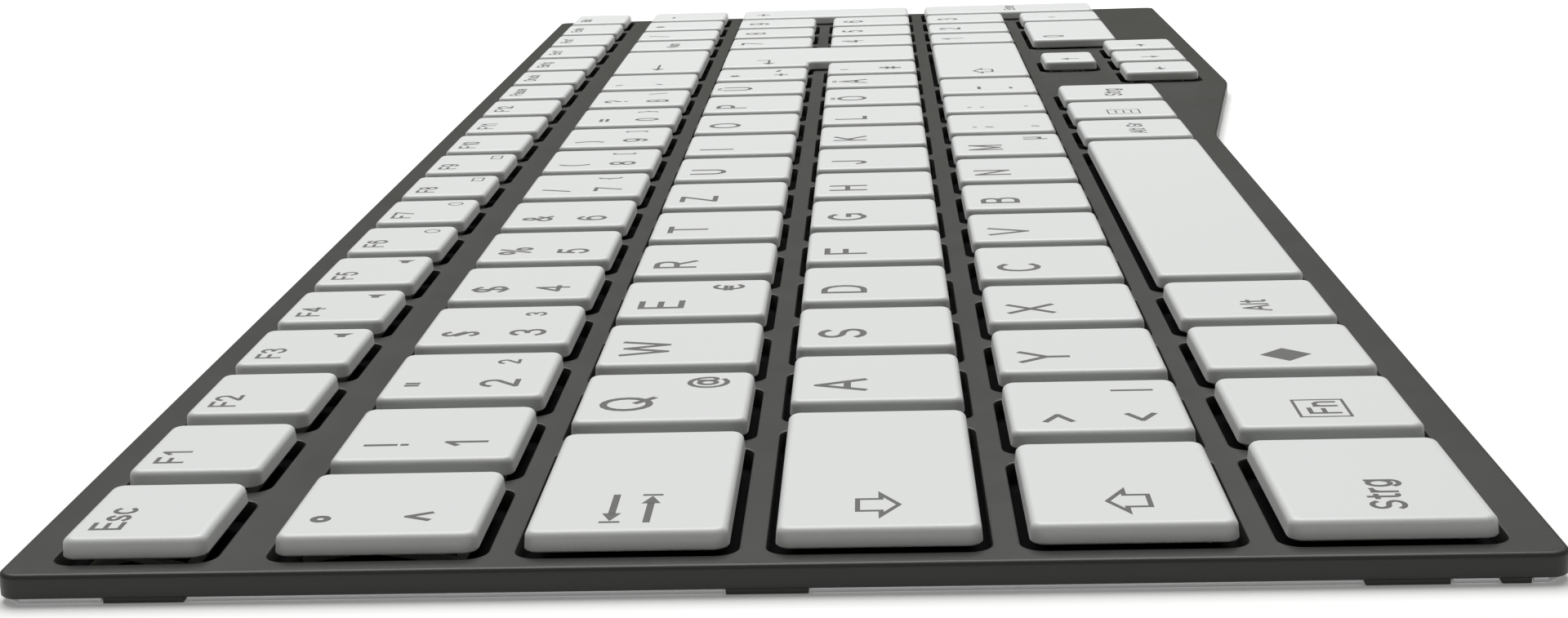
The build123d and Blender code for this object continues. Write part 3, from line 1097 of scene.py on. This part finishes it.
@dataclass
class KeyField:
    """Every key of the board: caps, legends and what lifts them."""

    pen: Pen = field(default_factory=Pen)
    legends: Legends = field(default_factory=Legends)
    keycap: Keycap = field(default_factory=Keycap)
    spring: Spring = field(default_factory=Spring)
    cap_gap: float = 3.0
    function_count: int = 20
    number_count: int = 13
    pad_columns: int = 4
    pad_rows: int = 5
    squashed: float = 0.34

    def __post_init__(self) -> None:
        """Reads the places of the caps from the CAD nodes."""
        self.moving = sorted(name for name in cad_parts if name.startswith("key_"))
        low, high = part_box("key_q")
        self.base = low.z / MM
        self.top = high.z / MM
        letter_cap = Rect.of_node("key_q")
        self.pitch = letter_cap.width + self.cap_gap
        self.row_pitch = letter_cap.depth + self.cap_gap
        self.enter_step = (Rect.of_node("key_hash").right + self.cap_gap, Rect.of_node("key_plus").front)
        row = Rect.of_node("function_row_keys")
        self.function = self._row(row, self.function_count, (row.width + self.cap_gap) / self.function_count)
        row = Rect.of_node("number_row_keys")
        last = Rect(row.left + self.number_count * self.pitch, row.front, row.right, row.back)
        self.number = self._row(row, self.number_count, self.pitch) + [last]
        self.pad = self._pad()

    def _row(self, row: Rect, count: int, pitch: float) -> list[Rect]:
        """Divides a row into a number of equal caps, from its left end."""
        starts = [row.left + index * pitch for index in range(count)]
        return [Rect(x, row.front, x + pitch - self.cap_gap, row.back) for x in starts]

    def _pad(self) -> list[Rect]:
        """Divides the numeric pad: three columns of single caps, then the last column and the front row."""
        pad = Rect.of_node("numeric_pad_keys")
        pitch = (pad.width + self.cap_gap) / self.pad_columns

        def cell(column: int, row: int, columns: int = 1, rows: int = 1) -> Rect:
            """Gives the plan of a cap that takes some cells."""
            left, back = pad.left + column * pitch, pad.back - row * self.row_pitch
            right = left + columns * pitch - self.cap_gap
            return Rect(left, back - rows * self.row_pitch + self.cap_gap, right, back)

        last = self.pad_columns - 1
        caps = [cell(column, row) for row in range(self.pad_rows - 1) for column in range(last)]
        caps += [cell(last, 0), cell(last, 1, rows=2), cell(last, 3, rows=2)]
        return caps + [cell(0, self.pad_rows - 1, columns=2), cell(2, self.pad_rows - 1)]

    def enter_corners(self) -> list[Point]:
        """Lists the corners of the angled enter cap."""
        whole = Rect.of_node("key_enter")
        step_x, step_y = self.enter_step
        corners = [(step_x, whole.front), (whole.right, whole.front), (whole.right, whole.back)]
        return corners + [(whole.left, whole.back), (whole.left, step_y), (step_x, step_y)]

    def outlines(self) -> list[list[Point]]:
        """Lists the corners of every cap's foot."""
        singles = [name for name in self.moving if name != "key_enter"]
        plain = [Rect.of_node(name) for name in singles] + self.function + self.number + self.pad
        return [cap.corners() for cap in plain] + [self.enter_corners()]

    def build_moving(self) -> None:
        """Builds each moving cap with its legend, and the spring that it presses."""
        for name in self.moving:
            cap = Rect.of_node(name)
            corners = cap.corners()
            printed = cap
            if name == "key_enter":
                corners = self.enter_corners()
                printed = Rect(cap.left, self.enter_step[1], cap.right, cap.back)
            shell = Shell()
            self.keycap.build(shell, corners, self.base, self.top)
            self.keycap.print_marks(shell, printed, self.legends.moving[name], self.pen, self.top)
            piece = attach(shell.piece(f"{name}_cap", Finishes.KEYCAP, Finishes.INK), name)
            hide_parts(name)
            self._lift(name, cap)

    def _lift(self, name: str, cap: Rect) -> None:
        """Builds the spring of one moving cap."""
        if name == "key_enter":
            cap = Rect(self.enter_step[0], cap.front, cap.right, cap.back)
        shell = Shell()
        reach = cap.width / 2 + self.cap_gap / 2 - self.pitch
        self.spring.build(shell, cap, (-reach, reach) if name == "key_space" else (0.0,))
        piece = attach(shell.piece(f"{name}_spring", Finishes.RUBBER, Finishes.LEVER), BASE)
        anchor = (cap.centre.x * MM, cap.centre.y * MM, self.spring.floor * MM)
        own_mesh(piece)
        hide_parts("rubber_domes", "scissor_levers")

    def build_fixed(self) -> None:
        """Builds the three groups of caps that stay up, and their springs."""
        groups = {
            "function_row_keys": (self.function, self.legends.function),
            "number_row_keys": (self.number, self.legends.number),
            "numeric_pad_keys": (self.pad, self.legends.pad),
        }
        springs = Shell()
        for node, (caps, legends) in groups.items():
            shell = Shell()
            for cap, marks in zip(caps, legends):
                self.keycap.build(shell, cap.corners(), self.base, self.top)
                self.keycap.print_marks(shell, cap, marks, self.pen, self.top)
                self.spring.build(springs, cap)
            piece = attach(shell.piece(f"{node}_caps", Finishes.KEYCAP, Finishes.INK), BASE)
            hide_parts(node)
        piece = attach(springs.piece("fixed_key_springs", Finishes.RUBBER, Finishes.LEVER), BASE)
        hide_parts("rubber_domes")


# Bezel and sheets


@dataclass
class Bezel:
    """The moulded frame: a flat face with an opening for every key, a skirt and its locking tabs."""

    clearance: float = 0.5
    opening_corner: float = 1.75
    opening_steps: int = 6
    opening_edge: float = 0.16
    edge_steps: int = 2
    corner: float = 1.6
    corner_steps: int = 6
    arris: float = 0.36
    arris_steps: int = 4
    flat_margin: float = 0.06
    foot_edge: float = 0.12
    skirt_wall: float = 1.2
    recess: float = 0.2
    plate: float = 0.4
    cap_inset: float = 1.5
    front_rim: float = 2.75
    step_run: float = 52.0
    step_radius: float = 30.0
    tab_width: float = 6.0
    tab_depth: float = 0.9
    tab_from_back: float = 11.0
    tab_pitch: float = 45.5
    tab_count: int = 3
    post_width: float = 2.1
    post_from_tab: float = 7.6
    tab_edge: float = 0.1

    def outline(self) -> Loop:
        """Rounds the outline, whose front edge steps forward for the arrow keys."""
        whole = Rect.of_node("bezel_frame")
        row_front = Rect.of_node("key_space").front - self.cap_inset - self.front_rim
        arrow_left = Rect.of_node("key_arrow_left").left - self.cap_inset
        corners = [(whole.left, row_front), (arrow_left - self.step_run, row_front)]
        corners += [(arrow_left, whole.front), (whole.right, whole.front)]
        corners += [(whole.right, whole.back), (whole.left, whole.back)]
        radii = [self.corner, self.step_radius, self.step_radius, self.corner, self.corner, self.corner]
        return Loop(corners, radii, self.corner_steps)

    def tabs(self) -> list[tuple[float, float, float]]:
        """Lists the tabs as middle and width along the end."""
        whole = Rect.of_node("bezel_frame")
        places = []
        for x in (whole.left + self.tab_depth / 2, whole.right - self.tab_depth / 2):
            for index in range(self.tab_count):
                y = whole.back - self.tab_from_back - index * self.tab_pitch
                places.append((x, y, self.tab_width))
            places.append((x, y - self.post_from_tab, self.post_width))
        return places

    def build(self, cap_outlines: Sequence[Sequence[Point]]) -> None:
        """Draws the frame from its flat face outwards and down every opening.

        Args:
            cap_outlines: The corners of every cap's foot, which its opening clears.
        """
        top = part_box("bezel_frame")[1].z / MM
        outer = self.outline()
        holes = []
        for corners in cap_outlines:
            hole = Loop(corners, [self.opening_corner - self.clearance] * len(corners), self.opening_steps)
            hole.points = [point + way * self.clearance for point, way in zip(hole.points, hole.ways)]
            holes.append(hole)
        shell = Shell()
        rim = shell.start(outer, -self.arris - self.flat_margin, top)
        lips = [shell.start(hole, self.opening_edge + self.flat_margin, top) for hole in holes]
        shell.fill([rim] + lips)
        for inset, drop in quarter_round(self.arris, self.arris_steps):
            rim = shell.draw(rim, outer, -inset, top - drop)
        ceiling = self.plate + self.recess
        for grow, z in (
            (0.0, self.plate + self.foot_edge),
            (-self.foot_edge, self.plate),
            (-self.skirt_wall, self.plate),
            (-self.skirt_wall, ceiling),
        ):
            rim = shell.draw(rim, outer, grow, z)
        feet = []
        for lip, hole in zip(lips, holes):
            for inset, drop in quarter_round(self.opening_edge, self.edge_steps):
                lip = shell.draw(lip, hole, inset, top - drop)
            feet.append(shell.draw(lip, hole, 0.0, ceiling))
        shell.fill([rim] + feet)
        for x, y, width in self.tabs():
            low = (x - self.tab_depth / 2, y - width / 2, 0.0)
            high = (x + self.tab_depth / 2, y + width / 2, self.plate + self.foot_edge)
            shell.box(low, high, self.tab_edge)
        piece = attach(shell.piece("bezel_moulding", Finishes.BEZEL), BASE)
        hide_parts("bezel_frame")


def dress_sheets() -> None:
    """Gives the flat layers under the keys, which keep their CAD solids, their finish."""
    for node, finish in (("base_plate", Finishes.SHEET), ("membrane", Finishes.FILM)):
        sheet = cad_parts[node]
        sheet.data.materials.clear()
        sheet.data.materials.append(finish.material())


# Studio


@dataclass
class Studio:
    """The pale floor, the soft light and the camera low at the board's left end."""

    floor_size: float = 6.0
    floor_drop: float = 0.00005
    floor_tone: float = 0.93
    floor_roughness: float = 0.9
    floor_glow: float = 0.20
    backdrop_radius: float = 2.95
    backdrop_height: float = 3.0
    backdrop_sides: int = 64
    backdrop_tone: float = 0.31
    sky: float = 0.09
    sky_tint: tuple[float, float, float, float] = (1.0, 1.0, 0.86, 1.0)
    light_place: tuple[float, float, float] = (0.50, 0.07, 1.0)
    light_aim: tuple[float, float, float] = (0.05, 0.0, 0.0)
    light_size: float = 1.1
    light_power: float = 17.5
    place: tuple[float, float, float] = (-0.336687, -0.003609, 0.060422)
    right: tuple[float, float, float] = (0.046301, -0.998417, -0.031934)
    up: tuple[float, float, float] = (0.231812, -0.020357, 0.972548)
    back: tuple[float, float, float] = (-0.971658, -0.052433, 0.230503)
    lens: float = 56.0246
    sensor: float = 36.0
    shift: float = 0.02137
    near: float = 0.01

    def _stand(self, mesh: BMesh, graph: Graph) -> bpy.types.Object:
        """Sets a mesh just below the part, in a material whose name it takes."""
        bmesh.ops.translate(mesh, verts=mesh.verts, vec=(0.0, 0.0, -self.floor_drop))
        data = bpy.data.meshes.new(graph.material.name)
        mesh.to_mesh(data)
        mesh.free()
        data.materials.append(graph.material)
        return linked(graph.material.name, data)

    def build_floor(self) -> None:
        """Lays the floor."""
        flat = bmesh.new()
        bmesh.ops.create_grid(flat, x_segments=1, y_segments=1, size=self.floor_size / 2)
        graph = Graph("studio_floor")
        tone = (self.floor_tone, self.floor_tone, self.floor_tone, 1.0)
        graph.surface(Base_Color=tone, Roughness=self.floor_roughness)
        graph.surface(Emission_Color=tone, Emission_Strength=self.floor_glow)
        floor = self._stand(flat, graph)

    def build_backdrop(self) -> None:
        """Stands a pale wall far round the floor, which is seen but gives no light."""
        wall = bmesh.new()
        bmesh.ops.create_circle(wall, segments=self.backdrop_sides, radius=self.backdrop_radius)
        made = bmesh.ops.extrude_edge_only(wall, edges=wall.edges[:])["geom"]
        raised = [item for item in made if isinstance(item, BMVert)]
        bmesh.ops.translate(wall, verts=raised, vec=(0.0, 0.0, self.backdrop_height))
        graph = Graph("studio_backdrop")
        tone = (self.backdrop_tone, self.backdrop_tone, self.backdrop_tone, 1.0)
        graph.surface(Base_Color=(0.0, 0.0, 0.0, 1.0), Emission_Color=tone, Emission_Strength=1.0)
        graph.surface(Specular_IOR_Level=0.0)
        backdrop = self._stand(wall, graph)
        backdrop.visible_diffuse = False
        backdrop.visible_glossy = False
        backdrop.visible_shadow = False

    def build_light(self) -> None:
        """Hangs the square soft light and sets the even sky."""
        world = bpy.data.worlds.new("studio_sky")
        world.use_nodes = True
        background = world.node_tree.nodes["Background"]
        background.inputs["Color"].default_value = self.sky_tint
        background.inputs["Strength"].default_value = self.sky
        bpy.context.scene.world = world
        data = bpy.data.lights.new("overhead", "AREA")
        data.size = self.light_size
        data.energy = self.light_power
        light = linked("overhead", data)
        light.location = self.light_place
        way = Vector(self.light_aim) - Vector(self.light_place)
        light.rotation_euler = way.to_track_quat("-Z", "Y").to_euler()

    def build_camera(self) -> None:
        """Sets the camera."""
        data = bpy.data.cameras.new("camera")
        data.lens = self.lens
        data.sensor_fit = "HORIZONTAL"
        data.sensor_width = self.sensor
        data.shift_x = self.shift
        data.clip_start = self.near
        camera = linked("camera", data)
        turn = Matrix((self.right, self.up, self.back)).transposed()
        camera.matrix_world = Matrix.Translation(self.place) @ turn.to_4x4()
        bpy.context.scene.camera = camera


def main() -> None:
    """Builds the keyboard's looks round its CAD model, then the studio."""
    logging.basicConfig(level=logging.INFO, format="%(name)s: %(message)s")
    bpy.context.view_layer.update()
    keys = KeyField()
    Bezel().build(keys.outlines())
    keys.build_moving()
    keys.build_fixed()
    dress_sheets()
    studio = Studio()
    studio.build_floor()
    studio.build_backdrop()
    studio.build_light()
    studio.build_camera()
    bpy.context.scene.view_settings.view_transform = "Standard"


if __name__ == "__main__":
    main()
